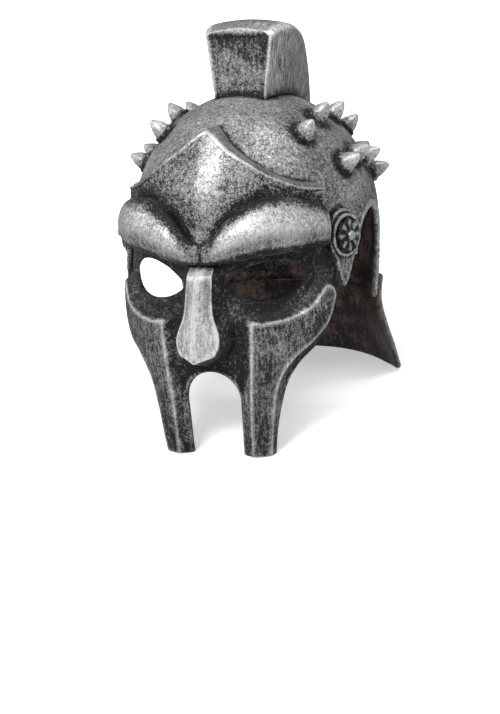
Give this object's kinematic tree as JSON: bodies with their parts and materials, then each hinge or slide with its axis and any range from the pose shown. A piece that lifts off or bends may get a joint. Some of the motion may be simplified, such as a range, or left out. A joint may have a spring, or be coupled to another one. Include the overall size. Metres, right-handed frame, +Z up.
{
  "type": "roman general helmet",
  "caption": "Masked Roman-style costume helmet: thin bowl with a hollow fore-and-aft crest, frontlet with brow rolls, face guard with eye and mouth openings, studs and flared neck guard.",
  "frame": {"origin": "on the floor, under the middle of the bounding box", "axes": "+Z up as the helmet stands by itself, face towards -Y, wearer's left towards +X"},
  "size_m": [0.166, 0.2284, 0.2528],
  "materials": {
    "shell": "moulded latex painted black and dry-brushed silver, worn look",
    "dark_shell": "moulded latex painted black with a light silver dry-brush",
    "studs": "moulded latex painted black and heavily dry-brushed silver"
  },
  "bodies": {
    "root": {"bowl": "shell", "crest": "shell", "frontlet": "shell", "face_guard": "shell", "neck_guard": "dark_shell", "temple_plate_left": "shell", "temple_plate_right": "shell", "rosette_left": "dark_shell", "rosette_right": "dark_shell", "stud_left_upper_1": "studs", "stud_left_upper_2": "studs", "stud_left_upper_3": "studs", "stud_left_upper_4": "studs", "stud_left_upper_5": "studs", "stud_left_lower_1": "studs", "stud_left_lower_2": "studs", "stud_left_lower_3": "studs", "stud_left_lower_4": "studs", "stud_right_upper_1": "studs", "stud_right_upper_2": "studs", "stud_right_upper_3": "studs", "stud_right_upper_4": "studs", "stud_right_upper_5": "studs", "stud_right_lower_1": "studs", "stud_right_lower_2": "studs", "stud_right_lower_3": "studs", "stud_right_lower_4": "studs"}
  },
  "joints": []
}
